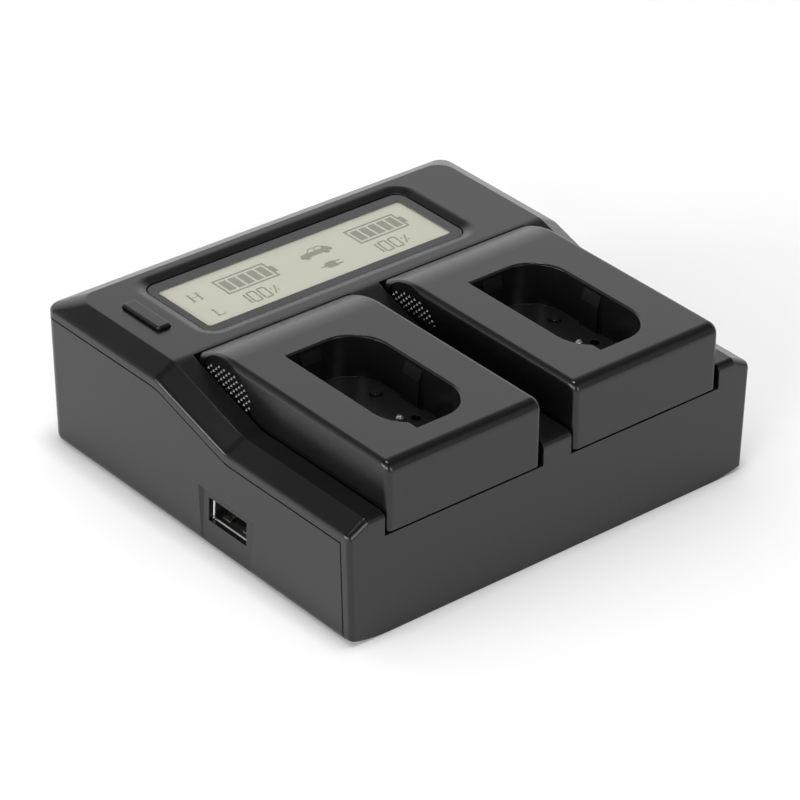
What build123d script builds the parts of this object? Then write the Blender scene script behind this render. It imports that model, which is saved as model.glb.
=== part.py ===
from build123d import *
from math import atan2, cos, degrees, radians, sin, tan
import os

# Camera battery charger with two lift-off adapter plates. Millimetres, +Z up, +X to the right as
# the display is read, +Y to the back, origin on the floor in the middle of the footprint.

# Housing
floor_width = 120.6         # across the side walls at the floor
depth = 111.0               # front wall at the floor to the back wall at its widest
deck_height = 38.7          # rear deck above the floor
low_deck_height = 31.0      # low deck beside the plates
rear_deck_length = 42.0     # back wall to the top of the slope
slope_length = 25.0         # plan length of the slope between the decks
slope_blend = 14.0          # radius at the foot of the slope and along the seam
crest_blend = 8.0           # radius where the slope meets the rear deck
chamfer_blend = 6.0         # radius of the wide chamfer's own bends
side_lean = 2.0             # degrees: side and back walls widen upwards
front_lean = 2.5            # degrees: the front wall leans back
wall = 2.2                  # housing wall, floor and deck
chamfer_width = 5.5         # wide chamfer round the top, in plan
chamfer_drop = 2.8          # and in height
edge_strip = 2.5            # upright strip between the chamfer and the seam
front_return = 3.1          # the front wall's return round the side, up to the seam
back_corner = 3.2           # radius of the two back corners
crest_corner = 4.5          # and of the deck's corners above them
front_corner = 1.2          # radius of the two front corners
foot_round = 2.2            # radius along the bottom of the side and back walls
arch_length = 11.0          # the front wall's lower edge lifts over this length at each end
arch_rise = 1.5
edge_round = 1.8            # softened upper edge of the front wall
seam_gap = 0.35             # groove between base and cover
seam_depth = 0.9

# Display
window_length = 79.6
window_width = 26.2
window_corner = 3.5
window_forward = 1.95       # middle of the window, before the middle of the rear deck
window_offset = -1.4        # middle of the window, from the middle of the housing
window_thickness = 0.4
bevel_width = 2.1           # bevel that leads down to the window, in plan
bevel_depth = 0.75
bevel_round = 3.5           # radius that softens the bevel's upper edge
glass_length = 75.4         # glass of the display inside its frame
glass_width = 21.0
panel_margin = 0.9          # hidden edge of the display panel
panel_thickness = 2.4
backlight_thickness = 3.2
frame_lip = 0.1             # thin lip of the display frame over the panel
frame_wall = 2.0
board_thickness = 1.6

# Key left of the display
key_length = 13.8
key_width = 3.8
key_to_window = 7.7         # middle of the key to the window's edge
key_behind = 0.65           # middle of the key behind the middle of the window
key_rise = 1.0              # above the deck
key_round = 0.6
key_flange = 0.9            # rim below the deck that keeps the key in
key_travel = 0.4
key_clearance = 0.25
switch_size = 6.0
switch_body = 2.2
switch_plunger = 1.4        # radius

# Adapter plates
plate_width = 45.2
plate_pitch = 55.2          # from plate to plate
plate_rise = 3.8            # plate top above the rear deck
bay_floor_height = 25.2     # floor of the bays above the ground
bay_wall = 1.8
bay_clearance = 0.8         # beside each plate
rest_clearance = 0.45       # below and behind each plate
bay_corner = 0.6            # radius of the bays' back corners
plate_back_corner = 2.0
plate_round = 1.5           # upper side edges and front corners of a plate
plate_nose = 2.8            # and its upper front edge
plate_wall = 1.8
roll_length = 12.0          # rounded back end of a plate, in plan
lid_thickness = 1.6         # closing plate under each adapter plate
grip_length = 18.0          # dotted finger grip in each side of a plate
grip_behind = 0.8           # middle of the grip, behind the middle of the slope
grip_height = 13.2
grip_depth = 0.5

# Battery pocket in each plate
pocket_length = 40.6
pocket_width = 21.6
pocket_depth = 11.0
pocket_from_front = 9.1     # plate's front edge to the pocket
pocket_corner = 9.5         # large corners on the right
pocket_bend = 9.0           # curve at the front left, up to the step
pocket_step = 3.7           # width of that curve
pocket_notch = 2.6          # straight step at its end
pocket_wall = 1.6
rim_chamfer = 0.36
pad_lead = 3.0              # sloped upper end of the guide pads on the pocket's walls
pad_rise = 0.8
pad_width = 5.8
pad_from_back = 18.8        # pocket's back to the middle of the pad on the right wall
pad_from_left = 7.0         # pocket's left to the middle of the pad on the back wall
boss_from_right = 4.2       # pocket's right wall to the boss in its floor
boss_from_back = 11.1       # pocket's back to the boss
pocket_boss_radius = 1.6
keying_radius = 1.2         # round hole in front of the right-hand pin
pin_pitch = 4.2             # contact pins in the pocket's floor
pin_row_offset = -0.4       # middle pin, from the middle of the plate
pin_radius = 0.9
pin_rise = 1.0
pin_from_front = 27.0       # plate's front edge to the row of pins

# Plug between plate and bay
blade_thickness = 0.8
blade_width = 3.0
blade_reach = 5.5           # below the plate
blade_clearance = 0.4
spring_thickness = 0.3
socket_wall = 1.6
socket_height = 7.0

# USB socket in the left wall
usb_recess_width = 19.2
usb_recess_height = 15.6
usb_recess_depth = 0.5
usb_recess_ramp = 1.0       # sloped ends of the recess, along the wall
usb_from_front = 44.0       # front wall at the floor to the middle of the socket
usb_width = 13.1
usb_height = 5.7
usb_length = 13.6
usb_sheet = 0.35
usb_clearance = 0.2
usb_setback = 1.35          # shell behind the face of the recess
tongue_width = 11.2
tongue_thickness = 1.9
tongue_length = 9.0
usb_contact = 0.25          # thickness

# Inlet in the back wall
inlet_from_side = 42.0      # right wall at the floor to the middle of the inlet
inlet_width = 9.0
inlet_length = 13.5
inlet_height = 10.6
inlet_bore = 6.4
inlet_pin = 2.0
inlet_opening = 8.4

# Main board
standoff = 3.6              # main board above the housing's floor
board_side_gap = 1.0        # main board to the walls
board_front = 24.0          # front wall at the floor to the main board
board_back_gap = 2.0        # main board to the back wall
coil_radius = 7.0
coil_height = 8.0
capacitor_radius = 4.0
capacitor_height = 12.0
chip_length = 10.0
chip_width = 6.0
chip_height = 1.7

# Screws
screw_radius = 1.3
screw_head_radius = 2.6
screw_head = 1.8
post_wall = 1.5
small_screw_radius = 0.9
small_head_radius = 1.8
small_head = 1.1
small_post_radius = 2.0

# Worked out from the sizes above
front_y = -depth / 2
back_y = depth / 2
side_slope = tan(radians(side_lean))
front_slope = tan(radians(front_lean))
deck_edge = deck_height - chamfer_drop
slope_top_y = back_y - rear_deck_length
slope_foot_y = slope_top_y - slope_length
deck_under = deck_height - wall
far = 2 * (floor_width + depth)


def side_x(z):
    """Half the housing's width at a height."""
    return floor_width / 2 + side_slope * z


def wall_front_y(z):
    """Front wall's outside at a height."""
    return front_y + front_slope * z


def wall_back_y(z):
    """Back wall's outside at a height."""
    return back_y - side_slope * (deck_edge - z)


def corners_near(shape, places):
    """Corners of a flat shape that lie at the given places."""
    found = []
    for x, y in places:
        found += [v for v in shape.vertices() if abs(v.X - x) + abs(v.Y - y) < 0.01]
    return found


def block(x0, x1, y0, y1, z0, z1):
    """Box between three pairs of planes."""
    return Pos((x0 + x1) / 2, (y0 + y1) / 2, (z0 + z1) / 2) * Box(abs(x1 - x0), abs(y1 - y0), abs(z1 - z0))


def post(x, y, z0, z1, radius):
    """Upright cylinder."""
    return Pos(x, y, (z0 + z1) / 2) * Cylinder(radius, z1 - z0)


def rounded_slab(x, y, length, width, corner, z0, z1):
    """Upright prism on a rounded rectangle."""
    return Pos(x, y, z0) * extrude(RectangleRounded(length, width, corner), z1 - z0)


def side_sketch(points, foot, crest, foot_radius, crest_radius):
    """Outline in the YZ plane, rounded where the slope starts and ends."""
    outline = make_face(Polyline(*points, close=True))
    outline = fillet(corners_near(outline, [foot]), foot_radius)
    return fillet(corners_near(outline, [crest]), crest_radius)


# The housing's outer form: side view, leaning walls, then the chamfers that follow the side view.
def housing_form(inset):
    """Outer form of the housing, or the hollow inside it when inset is the wall."""
    low_z = low_deck_height - inset
    deck_z = deck_height - inset
    foot = (slope_foot_y, low_z)
    crest = (slope_top_y, deck_z)
    chamfer_start = wall_back_y(deck_edge) - chamfer_width
    outline = [
        (wall_front_y(inset) + inset, inset),
        (wall_front_y(low_z) + inset, low_z),
        foot,
        crest,
        (chamfer_start, deck_z),
        (wall_back_y(deck_edge - inset) - inset, deck_edge - inset),
        (wall_back_y(inset) - inset, inset),
    ]
    form = Plane.YZ * side_sketch(outline, foot, crest, slope_blend, crest_blend)
    form = extrude(form, far / 2, both=True)

    section = Polyline(
        (inset - side_x(inset), inset),
        (side_x(inset) - inset, inset),
        (side_x(deck_height) - inset, deck_height),
        (inset - side_x(deck_height), deck_height),
        close=True,
    )
    form &= extrude(Plane.XZ * make_face(section), far / 2, both=True)

    low_foot = (slope_foot_y, low_z - chamfer_drop)
    low_crest = (slope_top_y, deck_z - chamfer_drop)
    below = [
        (-far, -far),
        (-far, low_z - chamfer_drop),
        low_foot,
        low_crest,
        (far, deck_z - chamfer_drop),
        (far, -far),
    ]
    ramp = side_sketch(below, low_foot, low_crest, chamfer_blend, chamfer_blend)
    for side in (-1, 1):
        start = Plane(origin=(side * side_x(deck_edge), 0, 0), x_dir=(0, 1, 0), z_dir=(1, 0, 0))
        form &= extrude(start * ramp, far, dir=(-side * chamfer_width, 0, chamfer_drop))
    return form


def corner_plan(half, back, corner, z):
    """Plan at one height whose back corners are rounded; its front lies before the housing."""
    return Pos(0, back - depth, z) * RectangleRounded(2 * half, 2 * depth, corner)


floor_plan = corner_plan(side_x(0), wall_back_y(0), back_corner, 0)
edge_plan = corner_plan(side_x(deck_edge), back_y, back_corner, deck_edge)
crest_plan = corner_plan(
    side_x(deck_edge) - chamfer_width, back_y - chamfer_width, crest_corner, deck_height)
outer = housing_form(0)
outer &= loft([floor_plan, edge_plan], ruled=True) + loft([edge_plan, crest_plan], ruled=True)

# Softened edges of the front wall: its upper edge, then its two upright corners.
front_rim = []
for edge in outer.edges():
    box = edge.bounding_box()
    low = low_deck_height - chamfer_drop
    if box.max.Y < front_y + wall and box.min.Z > low - edge_round and box.size.X > wall:
        front_rim.append(edge)
outer = fillet(front_rim, edge_round)
front_uprights = []
for edge in outer.edges():
    box = edge.bounding_box()
    tall = box.size.Z > low_deck_height / 2
    if tall and box.max.Y < front_y + wall:
        front_uprights.append(edge)
outer = fillet(front_uprights, front_corner)
hollow = housing_form(wall)
shell = outer - hollow


# Seam between base and cover: the top's side view lowered, then down behind the front wall.
def base_region(raise_by):
    """Everything that belongs to the base, with its seam moved outwards."""
    drop = chamfer_drop + edge_strip - raise_by
    start = front_y + front_return - raise_by
    foot = (slope_foot_y, low_deck_height - drop)
    crest = (slope_top_y, deck_height - drop)
    outline = [
        (start - front_slope * wall, -wall),
        (start + front_slope * foot[1], foot[1]),
        foot,
        crest,
        (far, crest[1]),
        (far, -wall),
    ]
    side = side_sketch(outline, foot, crest, slope_blend, slope_blend)
    return extrude(Plane.YZ * side, far / 2, both=True)


base_side = base_region(0)
base_shell = shell & base_side
top_cover = shell - base_side

# A groove shows the seam from outside.
skin = outer - housing_form(seam_depth)
top_cover -= skin & (base_region(seam_gap) - base_side)

# The base's lower edges are rounded along the sides and the back.
foot_edges = []
for edge in base_shell.edges().filter_by(Plane.XY):
    spot = edge.center()
    if abs(spot.Z) < 0.01 and spot.Y > front_y + front_return + front_corner:
        foot_edges.append(edge)
base_shell = fillet(foot_edges, foot_round)

# The front wall's lower edge lifts towards both ends.
arch_radius = (arch_length**2 + arch_rise**2) / (2 * arch_rise)
for side in (-1, 1):
    arch_x = side * (floor_width / 2 - arch_length)
    lift = block(arch_x, arch_x + side * far, front_y - wall, front_y + front_return, -wall, arch_radius)
    lift -= Pos(arch_x, front_y, arch_radius) * Rot(90, 0, 0) * Cylinder(arch_radius, far)
    lift &= block(-far, far, -far, far, -far, arch_rise)
    top_cover -= lift

# Bays for the plates: tubs in the cover, open at the top and at the front.
plate_bottom = bay_floor_height + rest_clearance
plate_top = deck_height + plate_rise
plate_back_y = slope_top_y - rest_clearance
plate_front_y = wall_front_y(plate_bottom)
plate_middles = {"left": -plate_pitch / 2, "right": plate_pitch / 2}
bay_half = plate_width / 2 + bay_clearance
bay_back_y = slope_top_y
tub_half = bay_half + bay_wall
tub_floor = bay_floor_height - bay_wall


def bay_prism(half, back, corner, z0):
    """Prism of a bay's plan, square at the open front and rounded at the back."""
    plan = make_face(Polyline((-half, -far), (half, -far), (half, back), (-half, back), close=True))
    plan = fillet(corners_near(plan, [(half, back), (-half, back)]), corner)
    return Pos(0, 0, z0) * extrude(plan, far)


tub = bay_prism(tub_half, bay_back_y + bay_wall, bay_corner + bay_wall, tub_floor)
room = bay_prism(bay_half, bay_back_y, bay_corner, bay_floor_height)
for middle in plate_middles.values():
    top_cover += outer & (Pos(middle, 0, 0) * tub)
for middle in plate_middles.values():
    top_cover -= Pos(middle, 0, 0) * room

# Display: bevelled recess, window, frame, panel, backlight and board.
window_x = window_offset
window_y = (slope_top_y + back_y) / 2 - window_forward
window_top = deck_height - bevel_depth
recess = loft([
    Pos(window_x, window_y, window_top) * RectangleRounded(window_length, window_width, window_corner),
    Pos(window_x, window_y, deck_height) * RectangleRounded(
        window_length + 2 * bevel_width, window_width + 2 * bevel_width, window_corner + bevel_width),
])
top_cover -= recess
recess_half_length = window_length / 2 + bevel_width
recess_half_width = window_width / 2 + bevel_width
bevel_edges = []
for edge in top_cover.faces().sort_by(Axis.Z)[-1].edges():
    spot = edge.center()
    inside = abs(spot.X - window_x) < recess_half_length + 0.01
    if inside and abs(spot.Y - window_y) < recess_half_width + 0.01:
        bevel_edges.append(edge)

# The bevel's round keeps to the flat strips of deck before and behind the recess.
crest_reach = crest_blend * (deck_height - low_deck_height) / slope_length / 2
front_strip = window_y - recess_half_width - slope_top_y - crest_reach
back_strip = back_y - chamfer_width - window_y - recess_half_width
bevel_limit = min(front_strip, back_strip) * bevel_width / bevel_depth
top_cover = fillet(bevel_edges, min(bevel_round, bevel_limit))
top_cover -= rounded_slab(
    window_x, window_y, window_length, window_width, window_corner, deck_under - wall, deck_height)

window_bottom = window_top - seam_gap / 2 - window_thickness
display_window = rounded_slab(
    window_x, window_y, window_length - 2 * seam_gap, window_width - 2 * seam_gap,
    window_corner - seam_gap, window_bottom, window_bottom + window_thickness)

panel_length = glass_length + 2 * panel_margin
panel_width = glass_width + 2 * panel_margin
panel_top = window_bottom - frame_lip
panel_bottom = panel_top - panel_thickness
board_top = panel_bottom - backlight_thickness
board_bottom = board_top - board_thickness
frame_length = window_length + 2 * frame_wall
frame_width = window_width + 2 * frame_wall


def display_layer(length, width, z0, z1):
    """Square-cornered block in the middle of the display."""
    return Pos(window_x, window_y, (z0 + z1) / 2) * Box(length, width, z1 - z0)


display_frame = rounded_slab(
    window_x, window_y, frame_length, frame_width, window_corner, board_top, deck_under)
display_frame += rounded_slab(
    window_x, window_y, window_length - 2 * seam_gap, window_width - 2 * seam_gap,
    window_corner - seam_gap, board_top, window_bottom)
display_frame -= display_layer(glass_length, glass_width, panel_top, deck_height)
display_frame -= display_layer(
    panel_length + 2 * seam_gap, panel_width + 2 * seam_gap, board_top, panel_top)
lcd_panel = display_layer(panel_length, panel_width, panel_bottom, panel_top)
backlight = display_layer(panel_length, panel_width, board_top, panel_bottom)

key_x = window_x - window_length / 2 - key_to_window
key_y = window_y + key_behind
board_left = key_x - switch_size / 2 - small_post_radius
board_right = window_x + frame_length / 2 + 2 * small_post_radius
board_half = frame_width / 2 + seam_gap
key_half = key_length / 2 + key_flange + seam_gap
tab_front = key_y - key_half - 2 * small_post_radius
display_board = block(
    window_x - frame_length / 2, board_right, window_y - board_half, window_y + board_half,
    board_bottom, board_top)
display_board += block(board_left, window_x, tab_front, key_y + key_half, board_bottom, board_top)

display_posts = [(board_left + small_post_radius, tab_front + small_post_radius)]
for side in (-1, 1):
    post_y = window_y + side * (board_half - small_post_radius)
    display_posts.append((board_right - small_post_radius, post_y))
small_grip = wall + small_head           # length of a small screw in its post
display_screws = []
for x, y in display_posts:
    hole = post(x, y, board_bottom, board_top + small_grip, small_screw_radius)
    top_cover += post(x, y, board_top, deck_under, small_post_radius)
    top_cover -= hole
    display_board -= hole
    display_screws.append(hole + post(x, y, board_bottom - small_head, board_bottom, small_head_radius))
display_screws = Compound(display_screws)

# Key: cap above the deck, rim below it, stem over the switch.
rim_top = deck_under - key_clearance
rim_bottom = rim_top - key_flange
mode_key = rounded_slab(key_x, key_y, key_width, key_length, key_round, rim_bottom, deck_height + key_rise)
mode_key = fillet(mode_key.faces().sort_by(Axis.Z)[-1].edges(), key_round * 0.8)
mode_key += rounded_slab(
    key_x, key_y, key_width + 2 * key_flange, key_length + 2 * key_flange, key_round, rim_bottom, rim_top)
top_cover -= rounded_slab(
    key_x, key_y, key_width + 2 * key_clearance, key_length + 2 * key_clearance,
    key_round + key_clearance, deck_under - wall, deck_height + wall)
switch_top = board_top + switch_body + key_travel
stem_bottom = switch_top + key_travel + key_clearance
mode_key += post(key_x, key_y, stem_bottom, rim_bottom + key_flange / 2, switch_plunger)
tact_switch = Pos(key_x, key_y, board_top + switch_body / 2) * Box(switch_size, switch_size, switch_body)
tact_switch += post(key_x, key_y, board_top + switch_body, switch_top, switch_plunger)

# Adapter plate, drawn with its middle at x = 0.
pocket_front = plate_front_y + pocket_from_front
pocket_back = pocket_front + pocket_length
pocket_left = -pocket_width / 2
pocket_right = pocket_width / 2
pocket_floor = plate_top - pocket_depth
lid_top = plate_bottom + lid_thickness
pin_y = plate_front_y + pin_from_front
plate_half = plate_width / 2


def plate_outline(inset, bottom):
    """Side view of a plate: leaning front, flat top, back rolled down to the rear deck."""
    top = plate_top - inset
    start = plate_back_y - inset - roll_length
    drop = plate_rise
    bend = (roll_length**2 + drop**2) / (2 * drop)
    turn = atan2(roll_length, bend - drop) / 2
    middle = (start + bend * sin(turn), top - bend * (1 - cos(turn)))
    end = (plate_back_y - inset, top - drop)
    front_low = (wall_front_y(bottom) + inset, bottom)
    front_high = (wall_front_y(top) + inset, top)
    path = Polyline(end, (end[0], bottom), front_low, front_high, (start, top))
    path += ThreePointArc((start, top), middle, end)
    outline = make_face(path)
    return Plane.YZ * fillet(corners_near(outline, [front_high]), plate_nose - inset)


def pocket_outline(grow):
    """Plan of a battery pocket: square corners on the left, large rounds on the right."""
    bend_end = pocket_front + pocket_notch
    step_x = pocket_left + pocket_step
    bend_start = bend_end + pocket_bend
    bend_turn = (pocket_left + pocket_step * 0.22, bend_end + pocket_bend * 0.42)
    path = Polyline((step_x, bend_end), (step_x, pocket_front), (pocket_right, pocket_front))
    path += Polyline((pocket_right, pocket_front), (pocket_right, pocket_back), (pocket_left, pocket_back))
    path += Polyline((pocket_left, pocket_back), (pocket_left, bend_start))
    path += ThreePointArc((pocket_left, bend_start), bend_turn, (step_x, bend_end))
    plan = make_face(path)
    rounded = [(pocket_right, pocket_front), (pocket_right, pocket_back)]
    plan = fillet(corners_near(plan, rounded), pocket_corner)
    return offset(plan, grow, kind=Kind.INTERSECTION) if grow else plan


plate_block = extrude(plate_outline(0, plate_bottom), plate_half, both=True)
back_edges = plate_block.edges().filter_by(Axis.Z).group_by(Axis.Y)[-1]
plate_block = fillet(back_edges, plate_back_corner)
round_edges = []
for edge in plate_block.edges():
    spot = edge.center()
    beside = abs(spot.X) > plate_half - plate_round
    above = spot.Z > plate_top - plate_rise / 2 - plate_round
    upright = edge.bounding_box().size.Z > plate_rise and spot.Y < plate_front_y + plate_round
    if beside and (above or upright):
        round_edges.append(edge)
plate_block = fillet(round_edges, plate_round)

plate_hollow = extrude(
    plate_outline(plate_wall, plate_bottom - plate_wall), plate_half - plate_wall, both=True)
pocket_tub = Pos(0, 0, pocket_floor - pocket_wall) * extrude(
    pocket_outline(pocket_wall), pocket_depth + pocket_wall)
adapter = plate_block - (plate_hollow - pocket_tub)
adapter -= Pos(0, 0, pocket_floor) * extrude(pocket_outline(0), pocket_depth + plate_wall)
rim = []
for edge in adapter.faces().filter_by(Plane.XY).group_by(Axis.Z)[-1].edges():
    spot = edge.center()
    if pocket_left - 1 < spot.X < pocket_right + 1 and pocket_front - 1 < spot.Y < pocket_back + 1:
        rim.append(edge)
adapter = chamfer(rim, rim_chamfer)

# Guide pads on the right and back walls, a boss and a keying hole in the pocket's floor.
pad_top = plate_top - rim_chamfer - pad_rise
pocket_under = pocket_floor - pocket_wall / 2
pad_section = make_face(Polyline(
    (-pocket_wall / 2, pocket_under),
    (pad_rise, pocket_under),
    (pad_rise, pad_top - pad_lead),
    (0, pad_top),
    (-pocket_wall / 2, pad_top),
    close=True,
))
pad = extrude(Plane.XZ * pad_section, pad_width / 2, both=True)
adapter += Pos(pocket_right, pocket_back - pad_from_back, 0) * Rot(0, 0, 180) * pad
adapter += Pos(pocket_left + pad_from_left, pocket_back, 0) * Rot(0, 0, -90) * pad
adapter += post(
    pocket_right - boss_from_right, pocket_back - boss_from_back, pocket_under, pocket_floor + pad_rise,
    pocket_boss_radius)
adapter -= post(
    pin_row_offset + 1.8 * pin_pitch, pin_y - 2 * pin_radius, pocket_floor - 2 * pocket_wall, pocket_floor,
    keying_radius)

# Finger grips: shallow ovals that lean with the slope, in both sides of the plate.
slope_angle = degrees(atan2(deck_height - low_deck_height, slope_length))
grip_y = slope_top_y - slope_length / 2 + grip_behind
grip_z = (deck_height + low_deck_height) / 2 + grip_behind * tan(radians(slope_angle))
grip = Plane.YZ * (Pos(grip_y, grip_z) * Rot(0, 0, slope_angle) * Ellipse(grip_length / 2, grip_height / 2))
for side in (-1, 1):
    adapter -= Pos(side * (plate_half - grip_depth), 0, 0) * extrude(grip, side * far)

# Screw posts inside the plate, closing plate, screws, pins and blades.
lid_half = plate_half - plate_wall
lid = block(
    -lid_half, lid_half, wall_front_y(lid_top) + plate_wall, plate_back_y - plate_wall,
    plate_bottom, lid_top)
plate_posts = []
post_inset = 2 * plate_wall + small_post_radius
for side in (-1, 1):
    x = side * (plate_half - post_inset)
    plate_posts.append((x, plate_front_y + post_inset))
    plate_posts.append((x, plate_back_y - post_inset))
screws = []
for x, y in plate_posts:
    hole = post(x, y, plate_bottom + small_head, lid_top + small_grip, small_screw_radius)
    head = post(x, y, plate_bottom, plate_bottom + small_head, small_head_radius)
    adapter += plate_block & post(x, y, lid_top, plate_top - plate_wall / 2, small_post_radius)
    adapter -= hole
    lid -= hole + head
    screws.append(hole + head)

pins = []
blades = []
blade_bottom = plate_bottom - blade_reach
for k in (-1, 0, 1):
    x = pin_row_offset + k * pin_pitch
    pin = post(x, pin_y, lid_top, pocket_floor + pin_rise, pin_radius)
    adapter -= pin
    pin = chamfer(pin.edges().sort_by(Axis.Z)[-1], pin_radius * 0.5)
    pins.append(pin)
    blade = block(
        x - blade_thickness / 2, x + blade_thickness / 2, pin_y - blade_width / 2, pin_y + blade_width / 2,
        blade_bottom, lid_top)
    lid -= blade
    blades.append(blade)

# Bay socket and its spring leaves, and the slots for the blades in the bay's floor.
slot_half_x = blade_thickness / 2 + blade_clearance
slot_half_y = blade_width / 2 + blade_clearance
socket_bottom = tub_floor - socket_height
socket_half_x = pin_pitch + slot_half_x + spring_thickness + socket_wall
socket_half_y = slot_half_y + socket_wall
bay_socket = block(
    pin_row_offset - socket_half_x, pin_row_offset + socket_half_x,
    pin_y - socket_half_y, pin_y + socket_half_y, socket_bottom, tub_floor)
springs = []
slots = []
for k in (-1, 0, 1):
    x = pin_row_offset + k * pin_pitch
    spring_x = x + slot_half_x
    slot = block(
        x - slot_half_x, spring_x, pin_y - slot_half_y, pin_y + slot_half_y,
        socket_bottom + socket_wall, far)
    spring = block(
        spring_x, spring_x + spring_thickness, pin_y - blade_width / 2, pin_y + blade_width / 2,
        socket_bottom - socket_wall, tub_floor)
    bay_socket -= slot + spring
    springs.append(spring)
    slots.append(slot)

plates = {}
for name, middle in plate_middles.items():
    place = Pos(middle, 0, 0)
    plates[name + "_adapter_plate"] = place * adapter
    plates[name + "_plate_lid"] = place * lid
    plates[name + "_plate_screws"] = place * Compound(screws)
    plates[name + "_contact_pins"] = place * Compound(pins)
    plates[name + "_plate_blades"] = place * Compound(blades)
    plates[name + "_bay_socket"] = place * bay_socket
    plates[name + "_socket_springs"] = place * Compound(springs)
    for slot in slots:
        top_cover -= place * slot & block(-far, far, -far, far, tub_floor, bay_floor_height)

# Main board on standoffs, as wide as the base allows.
main_bottom = wall + standoff
main_top = main_bottom + board_thickness
main_half = side_x(main_bottom) - wall - board_side_gap
main_front = front_y + board_front
main_back = wall_back_y(main_bottom) - wall - board_back_gap
board_length = main_back - main_front
boss_radius = screw_head_radius + post_wall
rear_boss_x = main_half - boss_radius
rear_boss_y = wall_back_y(main_bottom) - wall - screw_radius - post_wall - usb_clearance
notch = boss_radius + board_side_gap
main_board = block(-main_half, main_half, main_front, main_back, main_bottom, main_top)
for side in (-1, 1):
    main_board -= block(side * (rear_boss_x - notch), side * far, rear_boss_y - notch, far, 0, far)
main_screws = []
for side in (-1, 1):
    for y in (main_front + 2 * small_post_radius, rear_boss_y - notch - 2 * small_post_radius):
        x = side * (main_half - 2 * small_post_radius)
        hole = post(x, y, main_bottom - small_grip, main_top, small_screw_radius)
        base_shell += post(x, y, wall / 2, main_bottom, small_post_radius)
        base_shell -= hole
        main_board -= hole
        main_screws.append(hole + post(x, y, main_top, main_top + small_head, small_head_radius))
main_screws = Compound(main_screws)

# USB socket: recess and opening in the left wall, shell on the board, tongue and contacts in it.
usb_y = front_y + usb_from_front
usb_z = main_top + usb_height / 2
recess_face = usb_recess_depth - side_x(usb_z)
recess_half = usb_recess_width / 2 - usb_recess_ramp
ramp_reach = usb_recess_ramp * wall / usb_recess_depth
opening_half = usb_width / 2 + usb_clearance
recess_plan = make_face(Polyline(
    (recess_face, usb_y - recess_half),
    (recess_face, usb_y + recess_half),
    (recess_face - wall, usb_y + recess_half + ramp_reach),
    (recess_face - wall, usb_y - recess_half - ramp_reach),
    close=True,
))
base_shell -= Pos(0, 0, -wall) * extrude(recess_plan, usb_recess_height + wall)
base_shell -= block(
    -far, wall - side_x(0), usb_y - opening_half, usb_y + opening_half,
    main_top - usb_clearance, main_top + usb_height + usb_clearance)
usb_front = recess_face + usb_setback
usb_back = usb_front + usb_length
usb_shell = block(
    usb_front, usb_back, usb_y - usb_width / 2, usb_y + usb_width / 2, main_top, main_top + usb_height)
usb_shell = fillet(usb_shell.edges().filter_by(Axis.X), usb_sheet)
usb_inner = usb_width / 2 - usb_sheet
usb_shell -= block(
    usb_front - wall, usb_back - usb_sheet, usb_y - usb_inner, usb_y + usb_inner,
    main_top + usb_sheet, main_top + usb_height - usb_sheet)
tongue_back = usb_back - usb_sheet
tongue_front = tongue_back - usb_sheet - tongue_length
tongue_top = main_top + usb_height - 4 * usb_sheet
usb_tongue = block(
    tongue_front, tongue_back, usb_y - tongue_width / 2, usb_y + tongue_width / 2,
    tongue_top - tongue_thickness, tongue_top)
tongue_root = tongue_front + tongue_length * 0.75
usb_tongue += block(
    tongue_root, tongue_back, usb_y - usb_inner, usb_y + usb_inner,
    main_top + usb_sheet, main_top + usb_height - usb_sheet)
usb_contacts = []
for k in (-1.5, -0.5, 0.5, 1.5):
    y = usb_y + k * tongue_width / 4.6
    usb_contacts.append(block(
        tongue_front + usb_sheet, tongue_root, y - usb_contact * 2, y + usb_contact * 2,
        tongue_top - tongue_thickness - usb_contact, tongue_top - tongue_thickness))
usb_contacts = Compound(usb_contacts)

# Inlet: body on the board behind a round opening in the back wall.
inlet_x = floor_width / 2 - inlet_from_side
inlet_z = main_top + inlet_height - inlet_bore / 2 - frame_wall / 2
inlet_back = wall_back_y(main_top) - wall - usb_clearance


def lying_post(y0, y1, radius):
    """Cylinder along Y on the inlet's axis."""
    return Pos(inlet_x, (y0 + y1) / 2, inlet_z) * Rot(90, 0, 0) * Cylinder(radius, y1 - y0)


base_shell -= lying_post(inlet_back, back_y + wall, inlet_opening / 2)
inlet_body = block(
    inlet_x - inlet_width / 2, inlet_x + inlet_width / 2, inlet_back - inlet_length, inlet_back,
    main_top, main_top + inlet_height)
bore_end = inlet_back - inlet_length + 2 * wall
inlet_body -= lying_post(bore_end, inlet_back, inlet_bore / 2)
inlet_post = lying_post(bore_end, inlet_back - wall / 2, inlet_pin / 2)
inlet_post = chamfer(inlet_post.edges().sort_by(Axis.Y)[-1], inlet_pin * 0.2)

# What the main board carries.
coil_y = main_front + board_length * 0.3
power_coil = post(0, coil_y, main_top, main_top + coil_height, coil_radius)
groove = post(0, coil_y, main_top + coil_height * 0.2, main_top + coil_height * 0.8, coil_radius)
power_coil -= groove - post(0, coil_y, main_top, main_top + coil_height, coil_radius * 0.8)
capacitors = []
for k in (-1, 0, 1):
    x = main_half / 2 + k * capacitor_radius * 2.4
    can = post(x, coil_y, main_top, main_top + capacitor_height, capacitor_radius)
    capacitors.append(chamfer(can.edges().sort_by(Axis.Z)[-1], capacitor_radius / 8))
capacitors = Compound(capacitors)
chip_y = main_front + board_length * 0.55
control_chip = block(
    -chip_length / 2, chip_length / 2, chip_y - chip_width / 2, chip_y + chip_width / 2,
    main_top, main_top + chip_height)
control_chip = chamfer(control_chip.faces().sort_by(Axis.Z)[-1].edges(), chip_height / 5)
power_chips = []
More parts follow.
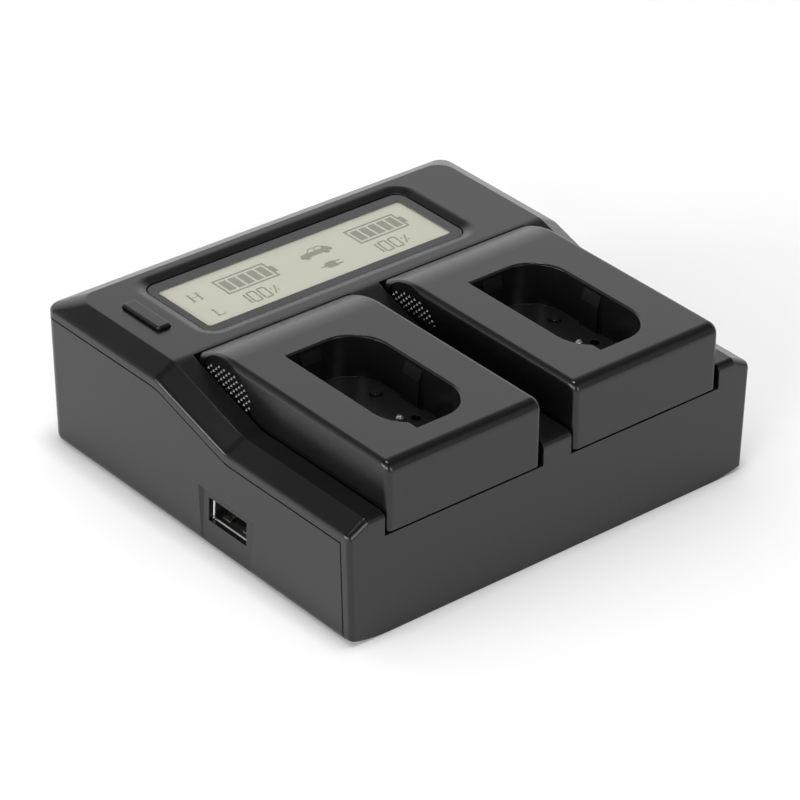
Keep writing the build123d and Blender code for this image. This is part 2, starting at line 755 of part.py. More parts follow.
for k in (-1, 1):
    x = k * main_half / 2.6
    power_chips.append(block(
        x - chip_width / 2, x + chip_width / 2, chip_y - chip_width / 2, chip_y + chip_width / 2,
        main_top, main_top + 2 * chip_height))
power_chips = Compound(power_chips)

# Housing screws from below: bosses in the base meet posts of the cover.
boss_top = main_bottom
screw_places = []
for side in (-1, 1):
    front_boss_x = side * (plate_pitch / 2 + pocket_width / 2)
    screw_places.append((front_boss_x, main_front - 2 * boss_radius, tub_floor))
    screw_places.append((side * rear_boss_x, rear_boss_y, deck_under))
housing_screws = []
for x, y, top in screw_places:
    head_top = boss_top - wall
    grip_top = boss_top + 3 * wall
    base_shell += post(x, y, wall / 2, boss_top, boss_radius)
    shaft = post(x, y, head_top, grip_top, screw_radius)
    well = post(x, y, -wall, head_top, screw_head_radius + usb_clearance)
    base_shell -= shaft + well
    top_cover += post(x, y, boss_top, top, screw_radius + post_wall)
    top_cover -= shaft
    housing_screws.append(shaft + post(x, y, head_top - screw_head, head_top, screw_head_radius))
housing_screws = Compound(housing_screws)

nodes = {
    "base_shell": base_shell,
    "top_cover": top_cover,
    "display_window": display_window,
    "display_frame": display_frame,
    "lcd_panel": lcd_panel,
    "backlight": backlight,
    "display_board": display_board,
    "display_screws": display_screws,
    "mode_key": mode_key,
    "tact_switch": tact_switch,
    "main_board": main_board,
    "main_board_screws": main_screws,
    "usb_shell": usb_shell,
    "usb_tongue": usb_tongue,
    "usb_contacts": usb_contacts,
    "inlet_body": inlet_body,
    "inlet_pin": inlet_post,
    "power_coil": power_coil,
    "capacitors": capacitors,
    "control_chip": control_chip,
    "power_chips": power_chips,
    "housing_screws": housing_screws,
}
nodes.update(plates)

os.makedirs("parts", exist_ok=True)
for name, solid in nodes.items():
    export_step(solid, "parts/" + name + ".step")
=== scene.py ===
import math
import bmesh
import bpy
from mathutils import Matrix, Vector


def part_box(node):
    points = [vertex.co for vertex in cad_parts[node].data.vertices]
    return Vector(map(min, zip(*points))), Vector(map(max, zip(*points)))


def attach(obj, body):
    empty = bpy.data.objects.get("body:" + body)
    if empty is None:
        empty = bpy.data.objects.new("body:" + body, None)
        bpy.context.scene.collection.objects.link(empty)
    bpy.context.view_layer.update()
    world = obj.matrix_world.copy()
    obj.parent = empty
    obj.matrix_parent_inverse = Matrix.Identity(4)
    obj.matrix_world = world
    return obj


# Two-bay camera battery charger, dressed in the order in which it is put together.
# Metres, +Z up, +X to the right as the display is read, +Y to the back.
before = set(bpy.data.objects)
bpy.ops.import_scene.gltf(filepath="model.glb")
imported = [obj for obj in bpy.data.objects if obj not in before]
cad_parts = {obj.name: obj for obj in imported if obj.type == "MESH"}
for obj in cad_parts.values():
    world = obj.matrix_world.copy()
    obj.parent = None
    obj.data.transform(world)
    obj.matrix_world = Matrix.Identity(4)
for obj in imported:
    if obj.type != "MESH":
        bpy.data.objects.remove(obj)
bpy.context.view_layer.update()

# Base shell: floor, side walls and back wall, injection moulded in near-black ABS.
# The mould is spark eroded, so the skin has a fine even grain that spreads reflections.
housing_black = (0.0040, 0.0040, 0.0042, 1)
housing_worn = (0.0058, 0.0058, 0.0060, 1)
housing_roughness = 0.255
housing_edge = 0.00025
grain_scale = 3200.0
grain_depth = 0.00003
cloud_scale = 45.0


class Shade:
    """One output of a node tree: arithmetic on it adds Math nodes, node() adds any other node."""

    def __init__(self, tree, socket):
        self.tree = tree
        self.socket = socket

    def node(self, kind, settings, inputs, output=0):
        made = self.tree.nodes.new(kind)
        for name, value in settings.items():
            if name == "stops":
                ramp = made.color_ramp.elements
                for position, colour in value[len(ramp):]:
                    ramp.new(position)
                for stop, (position, colour) in zip(ramp, value):
                    stop.position = position
                    stop.color = colour
            else:
                setattr(made, name, value)
        for name, value in inputs.items():
            plug_in(made.inputs[name], value)
        return Shade(self.tree, made.outputs[output])

    def math(self, operation, first, second):
        return self.node("ShaderNodeMath", {"operation": operation}, {0: first, 1: second})

    def mix(self, low, high):
        """Colour that runs from low to high as this value runs from 0 to 1."""
        return self.node("ShaderNodeMix", {"data_type": "RGBA"}, {0: self, 6: low, 7: high}, 2)

    def __add__(self, other):
        return self.math("ADD", self, other)

    def __radd__(self, other):
        return self.math("ADD", other, self)

    def __sub__(self, other):
        return self.math("SUBTRACT", self, other)

    def __rsub__(self, other):
        return self.math("SUBTRACT", other, self)

    def __mul__(self, other):
        return self.math("MULTIPLY", self, other)

    def __rmul__(self, other):
        return self.math("MULTIPLY", other, self)

    def __gt__(self, other):
        return self.math("GREATER_THAN", self, other)

    def __lt__(self, other):
        return self.math("LESS_THAN", self, other)

    def __abs__(self):
        return self.math("ABSOLUTE", self, 0.0)


def plug_in(socket, value):
    """Links a Shade to a socket, or sets the socket to a plain number or colour."""
    if isinstance(value, Shade):
        value.tree.links.new(value.socket, socket)
    else:
        socket.default_value = value


def open_material(name):
    """A new material, its shader and the place on the object that its patterns start from."""
    material = bpy.data.materials.new(name)
    material.use_nodes = True
    tree = material.node_tree
    shader = tree.nodes["Principled BSDF"]
    place = Shade(tree, tree.nodes.new("ShaderNodeTexCoord").outputs["Object"])
    return material, shader, place


def feed(shader, **inputs):
    """Fills the shader's sockets; an underscore in a name stands for a space."""
    for name, value in inputs.items():
        plug_in(shader.inputs[name.replace("_", " ")], value)


def noise(place, scale, detail):
    """Soft random pattern from 0 to 1."""
    return place.node("ShaderNodeTexNoise", {}, {"Vector": place, "Scale": scale, "Detail": detail}, "Fac")


def relief(place, height, strength, distance, edge):
    """Bump of a height on edges softened to a radius."""
    softened = place.node("ShaderNodeBevel", {"samples": 6}, {"Radius": edge})
    sockets = {"Strength": strength, "Distance": distance, "Height": height, "Normal": softened}
    return place.node("ShaderNodeBump", {}, sockets)


def moulded_plastic(name, dark, light, roughness, edge, dulling=None):
    """Spark-eroded plastic: fine grain, faint clouds in colour and gloss, softened edges.
    Where a dulling is given, it adds roughness by the place on the object."""
    material, shader, place = open_material(name)
    grain = noise(place, grain_scale, detail=2.0)
    cloud = noise(place, cloud_scale, detail=3.0)
    skin_roughness = roughness - 0.05 + 0.06 * grain + 0.04 * cloud
    if dulling:
        skin_roughness = skin_roughness + dulling(place)
    feed(
        shader,
        Base_Color=cloud.mix(dark, light),
        Roughness=skin_roughness,
        IOR=1.52,
        Normal=relief(place, grain, strength=0.25, distance=grain_depth, edge=edge),
    )
    return material


def dress(material, *names):
    """Gives CAD nodes their finish."""
    for name in names:
        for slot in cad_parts[name].material_slots:
            slot.material = material


housing_plastic = moulded_plastic(
    "housing_plastic", housing_black, housing_worn, housing_roughness, housing_edge)
dress(housing_plastic, "base_shell")

# Main board: green glass-fibre board with etched copper tracks below the lacquer.
# It stands on four posts of the base, held by small screws.
board_green = (0.010, 0.075, 0.030, 1)
track_green = (0.030, 0.150, 0.055, 1)
track_scale = 225.0
track_stops = [(0.42, (0, 0, 0, 1)), (0.48, (1, 1, 1, 1))]
lacquer_scale = 900.0


def circuit_board(name):
    """Lacquered board with square-cornered tracks that stand out a little."""
    material, shader, place = open_material(name)
    pattern = {"Vector": place, "Scale": track_scale}
    cells = place.node("ShaderNodeTexVoronoi", {"distance": "MANHATTAN"}, pattern, "Distance")
    tracks = place.node("ShaderNodeValToRGB", {"stops": track_stops}, {"Fac": cells})
    lacquer = noise(place, lacquer_scale, detail=2.0)
    feed(
        shader,
        Base_Color=tracks.mix(board_green, track_green),
        Roughness=0.28 + 0.12 * lacquer,
        Normal=relief(place, tracks, strength=0.3, distance=0.00004, edge=0.0001),
    )
    return material


dress(circuit_board("board_green"), "main_board", "display_board")

# Screws: zinc-plated steel, rolled, with the plating's slight mottle.
# Four hold the housing from below, the others hold the boards and the plates' lids.
zinc_dark = (0.42, 0.42, 0.44, 1)
zinc_light = (0.62, 0.62, 0.63, 1)


def plated_metal(name, dark, light, roughness, scale):
    """Plated metal with a mottle of the given scale."""
    material, shader, place = open_material(name)
    mottle = noise(place, scale, detail=4.0)
    feed(
        shader,
        Base_Color=mottle.mix(dark, light),
        Metallic=1.0,
        Roughness=roughness - 0.06 + 0.14 * mottle,
        Normal=relief(place, mottle, strength=0.15, distance=0.00002, edge=0.00012),
    )
    return material


dress(
    plated_metal("zinc_plate", zinc_dark, zinc_light, roughness=0.34, scale=1800.0),
    "main_board_screws", "display_screws", "housing_screws", "left_plate_screws", "right_plate_screws")

# Parts on the main board: wound ferrite coil, sleeved capacitors, moulded chips.
# All are soldered to the board; the switch below the key is moulded like the chips.
ferrite_dark = (0.020, 0.019, 0.018, 1)
ferrite_light = (0.050, 0.046, 0.042, 1)
copper_wire = (0.60, 0.24, 0.09, 1)
waist_half = 0.0024
waist_full = 0.0023
wire_scale = 9000.0
sleeve_blue = (0.012, 0.020, 0.055, 1)
can_silver = (0.66, 0.66, 0.68, 1)
can_bare = 0.0006
epoxy_dark = (0.010, 0.010, 0.011, 1)
epoxy_light = (0.020, 0.020, 0.021, 1)


def along_axis(place, axis):
    """Position along one axis."""
    return place.node("ShaderNodeSeparateXYZ", {}, {0: place}, axis)


def smooth_step(value, start, end, low, high):
    """Runs smoothly from low to high as the value runs from start to end."""
    sockets = {"Value": value, "From Min": start, "From Max": end, "To Min": low, "To Max": high}
    return value.node("ShaderNodeMapRange", {"interpolation_type": "SMOOTHSTEP"}, sockets)


def wound_coil(name):
    """Ferrite bobbin; its waist shows turns of copper wire."""
    material, shader, place = open_material(name)
    low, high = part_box("power_coil")
    height = along_axis(place, "Z")
    waist = smooth_step(abs(height - (low.z + high.z) / 2), waist_half, waist_full, 0.0, 1.0)
    turns = place.math("SINE", height * wire_scale, 0.0)
    grit = noise(place, 2500.0, detail=3.0)
    feed(
        shader,
        Base_Color=waist.mix(grit.mix(ferrite_dark, ferrite_light), copper_wire),
        Metallic=waist * 0.9,
        Roughness=0.55 - 0.25 * waist,
        Normal=relief(place, turns * waist, strength=0.5, distance=0.0001, edge=0.0002),
    )
    return material


def sleeved_can(name):
    """Aluminium can in a shrunk sleeve that leaves the top bare."""
    material, shader, place = open_material(name)
    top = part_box("capacitors")[1].z
    bare = along_axis(place, "Z") > top - can_bare
    brush = noise(place, 1400.0, detail=3.0)
    feed(
        shader,
        Base_Color=bare.mix(sleeve_blue, can_silver),
        Metallic=bare,
        Roughness=0.30 + 0.10 * brush,
        Normal=relief(place, brush, strength=0.1, distance=0.00003, edge=0.0002),
    )
    return material


epoxy = moulded_plastic("chip_epoxy", epoxy_dark, epoxy_light, roughness=0.5, edge=0.0001)
dress(wound_coil("coil"), "power_coil")
dress(sleeved_can("capacitor_can"), "capacitors")
dress(epoxy, "control_chip", "power_chips", "tact_switch")

# USB socket: folded, nickel-plated steel shell around a moulded tongue with four gilt contacts.
# It is soldered to the main board behind its opening in the left wall. The mouth of the shell is
# flared into a polished lip, and two tabs cut from its floor are bent up to grip the plug.
nickel_dark = (0.58, 0.57, 0.55, 1)
nickel_light = (0.82, 0.81, 0.79, 1)
# The shell's nickel is painted much darker than the lip's: painted shade for the shell set back in its
# opening.
shell_shade_dark = (0.16, 0.16, 0.16, 1)
shell_shade_light = (0.26, 0.26, 0.26, 1)
tongue_dark = (0.050, 0.050, 0.050, 1)
tongue_light = (0.080, 0.080, 0.080, 1)
gilt_dark = (0.70, 0.48, 0.18, 1)
gilt_light = (0.86, 0.66, 0.30, 1)
shell_sheet = 0.00035
lip_flare = 0.00030
lip_sheet = 0.00008
lip_profile = [(0, 0), (lip_flare, lip_flare), (lip_flare + lip_sheet, lip_flare), (lip_sheet, 0)]
spring_width = 0.0026
spring_pitch = 0.0072
spring_sheet = 0.00012
spring_line = [(0.0012, 0.0), (0.0021, 0.00040), (0.0030, 0.00055), (0.0036, 0.00050), (0.0041, 0.00012)]
spring_section = [(-0.5, 0), (0.5, 0), (0.5, 1), (-0.5, 1)]
nickel = plated_metal("nickel_plate", nickel_dark, nickel_light, roughness=0.22, scale=1200.0)
# Darkened copy of the nickel: painted shade for the shell inside the opening.
shell_shade_nickel = plated_metal("shell_shade_nickel", shell_shade_dark, shell_shade_light, roughness=0.30, scale=1200.0)
gilt = plated_metal("gilt_contact", gilt_dark, gilt_light, roughness=0.26, scale=1500.0)
tongue_black = moulded_plastic("tongue_black", tongue_dark, tongue_light, roughness=0.36, edge=0.0001)


def finished_piece(name, mesh, material, body):
    """Turns closed meshes into one piece that rides on a body and takes its finish from a slot."""
    bmesh.ops.recalc_face_normals(mesh, faces=mesh.faces)
    data = bpy.data.meshes.new(name)
    mesh.to_mesh(data)
    mesh.free()
    data.materials.append(material)
    piece = bpy.data.objects.new(name, data)
    bpy.context.scene.collection.objects.link(piece)
    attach(piece, body)


def join_rings(mesh, ring, next_ring):
    """Faces between two rings with the same number of points."""
    count = len(ring)
    for k in range(count):
        after = (k + 1) % count
        mesh.faces.new((ring[k], ring[after], next_ring[after], next_ring[k]))


def socket_springs(name, node):
    """Two closed bent tabs on the shell's floor, side by side across its mouth."""
    low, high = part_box(node)
    floor_z = low.z + shell_sheet
    mesh = bmesh.new()
    for side in (-1, 1):
        middle = (low.y + high.y) / 2 + side * spring_pitch / 2
        sections = []
        for inward, rise in spring_line:
            section = []
            for across, up in spring_section:
                y = middle + across * spring_width
                z = floor_z + rise + up * spring_sheet
                section.append(mesh.verts.new((low.x + inward, y, z)))
            sections.append(section)
        mesh.faces.new(sections[0])
        mesh.faces.new(sections[-1])
        for section, next_section in zip(sections, sections[1:]):
            join_rings(mesh, section, next_section)
    finished_piece(name, mesh, nickel, "housing")


def socket_lip(name, node):
    """Closed flared ring in front of the shell's mouth."""
    low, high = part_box(node)
    mesh = bmesh.new()
    rings = []
    for grow, forward in lip_profile:
        inset = shell_sheet - grow
        front = low.y + inset
        back = high.y - inset
        bottom = low.z + inset
        top = high.z - inset
        ring = []
        for y, z in ((front, bottom), (back, bottom), (back, top), (front, top)):
            ring.append(mesh.verts.new((low.x - forward, y, z)))
        rings.append(ring)
    for ring, next_ring in zip(rings, rings[1:] + rings[:1]):
        join_rings(mesh, ring, next_ring)
    finished_piece(name, mesh, nickel, "housing")


# The shell takes the darkened nickel, painted shade inside the opening.
dress(shell_shade_nickel, "usb_shell")
dress(tongue_black, "usb_tongue")
dress(gilt, "usb_contacts")
socket_springs("usb_springs", "usb_shell")
socket_lip("usb_lip", "usb_shell")

# Supply inlet: moulded body on the board behind the round hole in the back wall.
# A nickel-plated pin stands in its bore.
socket_black = moulded_plastic("socket_black", epoxy_dark, epoxy_light, roughness=0.42, edge=0.00015)
dress(socket_black, "inlet_body")
dress(nickel, "inlet_pin")

# Bay sockets: moulded blocks below the bay floors, with gilt spring leaves in them.
# The plates' blades come down through slots in the bay floor, and the leaves grip them.
dress(socket_black, "left_bay_socket", "right_bay_socket")
dress(gilt, "left_socket_springs", "right_socket_springs")

# Top cover: deck, slope, low deck and front wall in one moulding of the same grained plastic.
# It closes the base from above, and the screws from below hold it by its posts.
dress(housing_plastic, "top_cover")

# Display: reflective panel with a pale greenish ground, lit from below by a white light guide.
# It lies in a black moulded frame whose rim shows round it.
ground_low = (0.480, 0.464, 0.386, 1)
ground_high = (0.508, 0.494, 0.415, 1)
guide_white = (0.80, 0.80, 0.78, 1)
guide_cool = (0.74, 0.75, 0.74, 1)
light_guide = moulded_plastic("light_guide", guide_cool, guide_white, roughness=0.4, edge=0.0002)
frame_black = moulded_plastic("frame_black", housing_black, housing_worn, roughness=0.34, edge=0.0001)


def display_ground(name):
    """Matt ground of the panel, a little uneven in colour."""
    material, shader, place = open_material(name)
    cloud = noise(place, 60.0, detail=2.0)
    fibres = noise(place, 5000.0, detail=1.0)
    feed(shader, Base_Color=cloud.mix(ground_low, ground_high), Roughness=0.5 + 0.1 * fibres)
    return material


dress(display_ground("display_ground"), "lcd_panel")
dress(light_guide, "backlight")
dress(frame_black, "display_frame")

# Signs of the display: darkened liquid crystal between clear electrodes on the panel's glass.
# Two batteries with their charge, a plain car, a plug, and H and L beside the key, each drawn in
# millimetres and placed from the middle of the panel.
sign_thickness = 0.00003
sign_dark = (0.205, 0.198, 0.158, 1)
sign_light = (0.228, 0.222, 0.178, 1)
panel_low, panel_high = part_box("lcd_panel")
display_x = (panel_low.x + panel_high.x) / 2
display_y = (panel_low.y + panel_high.y) / 2
millimetre = 0.001
battery_length = 15.42
battery_height = 7.12
left_battery_x = -24.22
right_battery_x = 16.12
battery_y = -0.82
charge_shift = 1.95
charge_y = -7.20
car_place = (0.0, 0.0)
plug_place = (0.90, -4.10)
high_place = (-32.75, 1.28)
low_place = (-31.95, -7.05)


def sign_ink(name):
    """Darkened crystal, a little uneven along its edges."""
    material, shader, place = open_material(name)
    edge = noise(place, 900.0, detail=2.0)
    feed(shader, Base_Color=edge.mix(sign_dark, sign_light), Roughness=0.5 + 0.1 * edge)
    return material


def bar(x0, y0, x1, y1, width):
    """Outline of a straight stroke with square ends."""
    along = Vector((x1 - x0, y1 - y0)).normalized()
    across = Vector((-along.y, along.x)) * width / 2
    start = Vector((x0, y0))
    end = Vector((x1, y1))
    return [start - across, end - across, end + across, start + across]


def box_outline(x0, y0, x1, y1):
    """Outline of an upright rectangle."""
    return [Vector((x0, y0)), Vector((x1, y0)), Vector((x1, y1)), Vector((x0, y1))]


def leaning(outlines, lean):
    """Outlines sheared to the right, like the slanted figures of a display."""
    return [[Vector((p.x + lean * p.y, p.y)) for p in outline] for outline in outlines]


def display_sign(name, outlines, x, y):
    """Flat closed pieces on the panel, drawn in millimetres from a point of the display."""
    mesh = bmesh.new()
    for outline in outlines:
        corners = []
        for point in outline:
            spot_x = display_x + (x + point.x) * millimetre
            spot_y = display_y + (y + point.y) * millimetre
            corners.append(mesh.verts.new((spot_x, spot_y, panel_high.z)))
        face = mesh.faces.new(corners)
        raised = bmesh.ops.extrude_face_region(mesh, geom=[face])
        lifted = [part for part in raised["geom"] if isinstance(part, bmesh.types.BMVert)]
        bmesh.ops.translate(mesh, verts=lifted, vec=(0, 0, sign_thickness))
    finished_piece(name, mesh, ink, "housing")


def battery_sign():
    """Battery lying along x: line round it, five bars in it, a cap on its right end."""
    line = 0.55
    bars = 5
    side_margin = 1.14
    margin = 1.22
    gap = 0.63
    cap = 0.97
    cap_low = 1.93
    cap_high = 4.83
    width = (battery_length - 2 * side_margin - (bars - 1) * gap) / bars
    outlines = [
        box_outline(0, 0, battery_length, line),
        box_outline(0, battery_height - line, battery_length, battery_height),
        box_outline(0, line, line, battery_height - line),
        box_outline(battery_length - line, line, battery_length, battery_height - line),
        box_outline(battery_length, cap_low, battery_length + cap, cap_high),
    ]
    for k in range(bars):
        left = side_margin + k * (width + gap)
        outlines.append(box_outline(left, margin, left + width, battery_height - margin))
    return outlines


def digit_sign(lit, x, width, height):
    """Seven-bar figure. Its bars are named a to g from the top clockwise, g in the middle."""
    stroke = 0.50
    clear = 0.10
    middle = height / 2
    ends = {
        "a": (0, height, width, height),
        "b": (width, height, width, middle),
        "c": (width, middle, width, 0),
        "d": (0, 0, width, 0),
        "e": (0, middle, 0, 0),
        "f": (0, height, 0, middle),
        "g": (0, middle, width, middle),
    }
    outlines = []
    for name in lit:
        x0, y0, x1, y1 = ends[name]
        along = Vector((x1 - x0, y1 - y0)).normalized() * clear
        outlines.append(bar(x + x0 + along.x, y0 + along.y, x + x1 - along.x, y1 - along.y, stroke))
    return outlines


def charge_sign():
    """The figures 1 0 0 and a percent sign."""
    width = 2.07
    height = 4.45
    pitch = 3.07
    lean = 0.08
    stroke = 0.42
    outlines = digit_sign("bc", -width, width, height)
    for k in (1, 2):
        outlines += digit_sign("abcdef", k * pitch - width, width, height)
    outlines = leaning(outlines, lean)
    outlines.append(bar(7.35, 0.3, 8.15, 1.75, stroke))
    outlines.append(bar(8.25, 1.95, 9.15, 3.7, stroke))
    outlines.append(bar(7.45, 2.55, 7.65, 3.05, stroke))
    outlines.append(bar(8.75, 1.2, 8.95, 1.7, stroke))
    return outlines


def car_sign():
    """Side view of a plain car: filled body and wheels, thin roof and pillars."""
    line = 0.34
    body = [
        (-0.2, 2.0), (0.1, 1.5), (9.1, 1.5), (9.35, 2.4), (8.9, 3.2), (8.1, 4.0), (7.5, 4.1), (7.0, 3.4),
        (2.4, 3.4), (0.5, 3.3)]
    outlines = [[Vector(point) for point in body]]
    outlines.append(bar(2.6, 3.3, 4.0, 4.7, line))
    outlines.append(bar(3.9, 4.68, 7.1, 4.68, line))
    outlines.append(bar(7.0, 4.75, 7.9, 4.0, line))
    outlines.append(bar(5.3, 3.4, 5.5, 4.6, line))
    for wheel in (1.35, 7.2):
        outlines.append(box_outline(wheel - 0.65, 0.75, wheel + 0.65, 1.55))
    return outlines


def plug_sign():
    """Plug with two blades at the end of a short line."""
    steps = 12
    body_front = 4.6
    body_half = 1.35
    back_x = 2.6
    back_reach = 1.2
    blade_gap = 1.4
    body = [Vector((body_front, -body_half)), Vector((body_front, body_half))]
    for k in range(steps + 1):
        turn = math.pi / 2 + math.pi * k / steps
        body.append(Vector((back_x + back_reach * math.cos(turn), body_half * math.sin(turn))))
    blades = [bar(4.5, side * blade_gap / 2, 6.3, side * blade_gap / 2, 0.45) for side in (-1, 1)]
    return [bar(0, 0, 1.6, 0, 0.4), body] + blades


def letter_h():
    """H with serifs, leaning a little to the right."""
    height = 3.4
    width = 2.3
    serif = 0.5
    outlines = [bar(0, 1.75, width, 1.75, 0.24)]
    for x in (0, width):
        outlines.append(bar(x, 0, x, height, 0.46))
        for y in (0.1, height - 0.1):
            outlines.append(bar(x - serif, y, x + serif, y, 0.22))
    return leaning(outlines, 0.07)


def letter_l():
    """L with serifs, leaning a little to the right."""
    height = 3.3
    serif = 0.45
    outlines = [
        bar(0, 0, 0, height, 0.44),
        bar(-serif, height - 0.1, serif, height - 0.1, 0.22),
        bar(-serif, 0.1, 1.85, 0.1, 0.26),
        bar(1.75, 0.1, 1.9, 0.65, 0.24),
    ]
    return leaning(outlines, 0.05)


ink = sign_ink("sign_ink")
for side, battery_x in (("left", left_battery_x), ("right", right_battery_x)):
    display_sign(side + "_battery_sign", battery_sign(), battery_x, battery_y)
    display_sign(side + "_charge_sign", charge_sign(), battery_x + charge_shift, charge_y)
display_sign("car_sign", car_sign(), *car_place)
display_sign("plug_sign", plug_sign(), *plug_place)
display_sign("high_sign", letter_h(), *high_place)
display_sign("low_sign", letter_l(), *low_place)

# Display window: thin clear acrylic, laid flush in the bevelled opening of the deck.
# Its face is printed black along the edge, so only the display shows through.
window_tint = (0.50, 0.52, 0.48, 1)
window_cover = 0.06
print_black = (0.0040, 0.0040, 0.0042, 1)
print_left = 0.00192
print_right = 0.00268
print_front = 0.00261
print_back = 0.00304
print_corner = 0.0009


def beyond(position, low, high):
    """How far a position lies outside a span, and nothing inside it."""
    outside = abs(position - (low + high) / 2) - (high - low) / 2
    return position.math("MAXIMUM", outside, 0.0)


def printed_window(name):
    """Clear sheet with a black border on its upper face, round-cornered inside."""
    material, shader, place = open_material(name)
    low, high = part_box("display_window")
    over_x = beyond(
        along_axis(place, "X"), low.x + print_left + print_corner, high.x - print_right - print_corner)
    over_y = beyond(
        along_axis(place, "Y"), low.y + print_front + print_corner, high.y - print_back - print_corner)
    border = over_x * over_x + over_y * over_y > print_corner * print_corner
    face = along_axis(place, "Z") > (low.z + high.z) / 2
    printed = border * face
    haze = noise(place, 120.0, detail=2.0)
    feed(
        shader,
        Base_Color=printed.mix(window_tint, print_black),
        Roughness=0.14 + 0.08 * haze + 0.10 * printed,
        Alpha=window_cover + (1 - window_cover) * printed,
        IOR=1.49,
    )
    return material


dress(printed_window("printed_window"), "display_window")

# Key: small cap moulded in the housing's plastic, left of the display.
# Its rim below the deck keeps it in, and the switch below it springs it back.
dress(housing_plastic, "mode_key")

# Adapter plates: thin moulded trays with a battery pocket, closed from below by a lid.
# Same grained plastic as the housing, duller on the pocket's floor; they lift out of their bays.
pocket_roughness = 0.37
pocket_half_width = 0.013
pocket_front = 0.0070
pocket_back = 0.0150
pocket_floor = 0.0107


def pocket_dulling(place):
    """Roughness added on the pockets' floors; both plates stand at the same distance from x = 0."""
    low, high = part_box("right_adapter_plate")
    middle = (low.x + high.x) / 2
    over_x = beyond(abs(along_axis(place, "X")), middle - pocket_half_width, middle + pocket_half_width)
    over_y = beyond(along_axis(place, "Y"), low.y + pocket_front, high.y - pocket_back)
    deep = along_axis(place, "Z") < high.z - pocket_floor
    pocket = deep * (1 - (over_x + over_y > 0.0))
    return (pocket_roughness - housing_roughness) * pocket


plate_plastic = moulded_plastic(
    "plate_plastic", housing_black, housing_worn, housing_roughness, housing_edge, pocket_dulling)
dress(plate_plastic, "left_adapter_plate", "right_adapter_plate", "left_plate_lid", "right_plate_lid")

# Contacts of the plates: nickel-plated pins in the pocket's floor, gilt blades below the lid.
# The pins' nickel is painted lighter than the other nickel all over, as a painted highlight on their round
# tips.
pin_highlight_dark = (0.84, 0.84, 0.83, 1)
pin_highlight_bright = (0.94, 0.94, 0.93, 1)
# Lighter, rougher copy of the nickel: painted highlight spread over the pins' tips.
pin_highlight_nickel = plated_metal("pin_highlight_nickel", pin_highlight_dark, pin_highlight_bright, roughness=0.36, scale=1200.0)
dress(pin_highlight_nickel, "left_contact_pins", "right_contact_pins")
dress(gilt, "left_plate_blades", "right_plate_blades")

# Finger grips: small four-sided points in a shallow oval in each side of a plate, moulded with it.
# They stand in level rows, each row half a step on from the last.
grip_y = 0.0018
grip_z = 0.0351
grip_depth = 0.0005
field_lean = math.radians(5.0)
field_y = 0.0003
field_z = -0.0005
field_half_length = 0.0081
field_half_height = 0.0048
point_step = 0.00183
row_step = 0.00093
point_reach = 0.00050
point_height = 0.00036
point_root = 0.00005
point_foot = 0.06
point_shoulder = 0.96
shoulder_reach = 0.10
point_sides = 4
point_plastic = moulded_plastic(
    "point_plastic", housing_black, housing_worn, roughness=0.20, edge=0.00003)


def grip_spots():
    """Places of the points inside their leaning oval field, along y and z from the grip's middle."""
    spots = []
    rows = int(field_half_length / row_step) + 1
    columns = int(field_half_length / point_step) + 1
    for row in range(-rows, rows + 1):
        for column in range(-columns, columns + 1):
            y = (column + 0.5 * (row % 2)) * point_step
            z = row * row_step
            off_y = y - field_y
            off_z = z - field_z
            along = off_y * math.cos(field_lean) + off_z * math.sin(field_lean)
            across = off_z * math.cos(field_lean) - off_y * math.sin(field_lean)
            if (along / field_half_length) ** 2 + (across / field_half_height) ** 2 <= 1:
                spots.append((y, z))
    return spots


def grip_point(mesh, floor_x, outward, y, z):
    """One closed four-sided point with a blunt tip, rooted in the oval's floor."""
    profile = [
        (1.0, -point_root),
        (1.0, point_foot * point_height),
        (shoulder_reach, point_shoulder * point_height),
    ]
    rings = []
    for reach, height in profile:
        ring = []
        for k in range(point_sides):
            turn = 2 * math.pi * k / point_sides
            ring.append(mesh.verts.new((
                floor_x + outward * height,
                y + reach * point_reach * math.cos(turn),
                z + reach * point_reach * math.sin(turn))))
        rings.append(ring)
    tip = mesh.verts.new((floor_x + outward * point_height, y, z))
    mesh.faces.new(rings[0])
    for below, above in zip(rings, rings[1:]):
        join_rings(mesh, below, above)
    for k in range(point_sides):
        mesh.faces.new((rings[-1][k], rings[-1][(k + 1) % point_sides], tip))


def finger_grip(name, wall_x, outward, body):
    """Points on the floor of one oval; outward is the wall's direction along x."""
    mesh = bmesh.new()
    floor_x = wall_x - outward * grip_depth
    for y, z in grip_spots():
        grip_point(mesh, floor_x, outward, grip_y + y, grip_z + z)
    finished_piece(name, mesh, point_plastic, body)


for body in ("left_plate", "right_plate"):
    plate_low, plate_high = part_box(body.replace("plate", "adapter_plate"))
    finger_grip(body + "_left_grip", plate_low.x, -1, body)
    finger_grip(body + "_right_grip", plate_high.x, 1, body)

# Floor: a wide matt white table, seen all round the charger.
# It is no part of the charger and lies a hair below it.
floor_half = 6.0
floor_drop = 0.0001
floor_white = (0.90, 0.90, 0.90, 1)
floor_data = bpy.data.meshes.new("floor")
floor_corners = []
for x, y in ((-1, -1), (1, -1), (1, 1), (-1, 1)):
    floor_corners.append((x * floor_half, y * floor_half, -floor_drop))
floor_data.from_pydata(floor_corners, [], [(0, 1, 2, 3)])
floor = bpy.data.objects.new("floor", floor_data)
bpy.context.scene.collection.objects.link(floor)
floor_finish, floor_shader = open_material("floor_white")[:2]
feed(floor_shader, Base_Color=floor_white, Roughness=0.9, Specular_IOR_Level=0.1)
floor_data.materials.append(floor_finish)

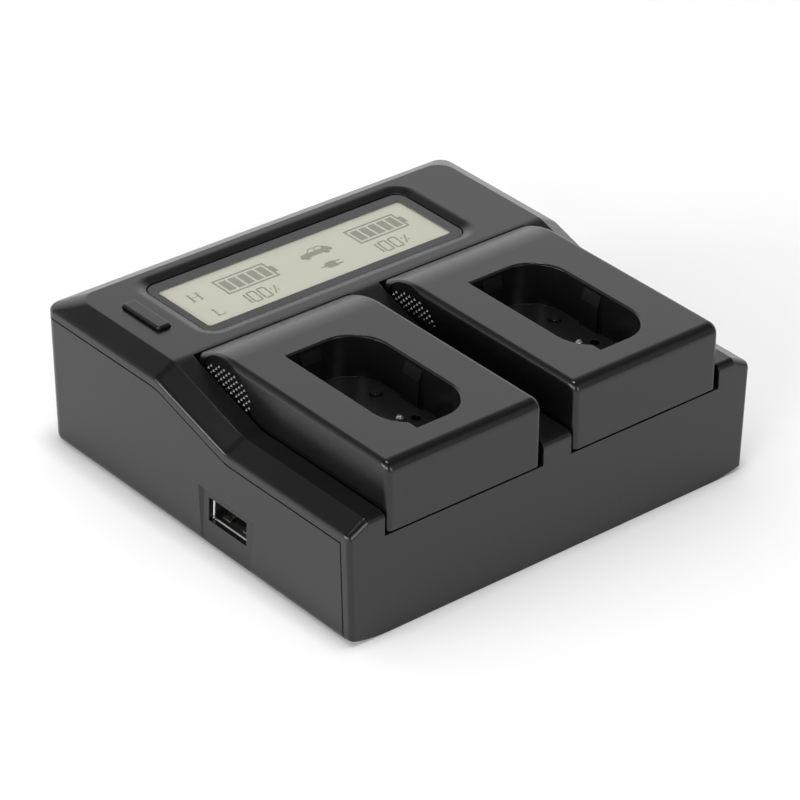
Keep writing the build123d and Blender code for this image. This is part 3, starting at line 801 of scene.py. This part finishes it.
# Studio: a bright backdrop behind the charger under a dark ceiling, a wide lamp above the table,
# and four soft boxes, above, left and in front, whose reflections pick out the edges.
backdrop_strength = 1.3
backdrop_dim = 0.30
backdrop_x = 0.6
backdrop_y = 0.8
backdrop_edge = 0.20
backdrop_full = 0.60
backdrop_stops = [
    (0.0, (1.00, 1.00, 1.00, 1)),
    (0.56, (0.92, 0.92, 0.92, 1)),
    (0.70, (0.12, 0.12, 0.12, 1)),
    (1.0, (0.05, 0.05, 0.05, 1)),
]
studio = bpy.data.worlds.new("studio")
studio.use_nodes = True
studio_tree = studio.node_tree
backdrop = studio_tree.nodes["Background"]
direction = Shade(studio_tree, studio_tree.nodes.new("ShaderNodeTexCoord").outputs["Generated"])
height = along_axis(direction, "Z")
behind = backdrop_x * along_axis(direction, "X") + backdrop_y * along_axis(direction, "Y")
lit = smooth_step(behind, backdrop_edge, backdrop_full, backdrop_dim, 1.0)
plug_in(
    backdrop.inputs["Color"],
    direction.node("ShaderNodeValToRGB", {"stops": backdrop_stops}, {"Fac": height}))
plug_in(backdrop.inputs["Strength"], backdrop_strength * lit)
bpy.context.scene.world = studio


def soft_box(name, place, width, height, power):
    """Lamp with a rectangular face turned to the charger."""
    data = bpy.data.lights.new(name, "AREA")
    data.shape = "RECTANGLE"
    data.size = width
    data.size_y = height
    data.energy = power
    lamp = bpy.data.objects.new(name, data)
    lamp.location = place
    lamp.rotation_euler = Vector(place).to_track_quat("Z", "Y").to_euler()
    bpy.context.scene.collection.objects.link(lamp)
    return lamp


overhead = soft_box("overhead_lamp", (-0.5, 0.3, 2.6), width=3.0, height=3.0, power=33.0)
overhead.visible_glossy = False
soft_box("top_box", (0.0, 0.0, 1.3), width=0.24, height=0.24, power=5.5)
soft_box("key_box", (-1.32, -0.57, 0.64), width=0.50, height=0.50, power=6.0)
soft_box("left_box", (-1.40, 0.30, 0.38), width=0.90, height=0.55, power=10.0)
soft_box("front_box", (0.15, -1.42, 0.58), width=0.60, height=0.66, power=4.5)
bpy.context.scene.view_settings.view_transform = "Standard"

# Camera: stands at the photograph's viewpoint and looks along its viewing angle.
# Its lens and shift are worked out for a square picture of 800 by 800 pixels.
picture_width = 800
focal_pixels = 3905.4
middle_pixel = (400.41, 403.37)
sensor_width = 36.0
camera_place = Vector((-0.52436, -0.58206, 0.49222))
camera_right = Vector((0.75713, -0.65217, 0.03779))
camera_up = Vector((0.31611, 0.41637, 0.85247))
camera_back = camera_right.cross(camera_up)
camera_data = bpy.data.cameras.new("camera")
camera_data.sensor_width = sensor_width
camera_data.lens = focal_pixels * sensor_width / picture_width
camera_data.shift_x = -(middle_pixel[0] - picture_width / 2) / picture_width
camera_data.shift_y = (middle_pixel[1] - picture_width / 2) / picture_width
camera = bpy.data.objects.new("camera", camera_data)
turn = Matrix((camera_right, camera_up, camera_back)).transposed().to_4x4()
camera.matrix_world = Matrix.Translation(camera_place) @ turn
bpy.context.scene.collection.objects.link(camera)
bpy.context.scene.camera = camera
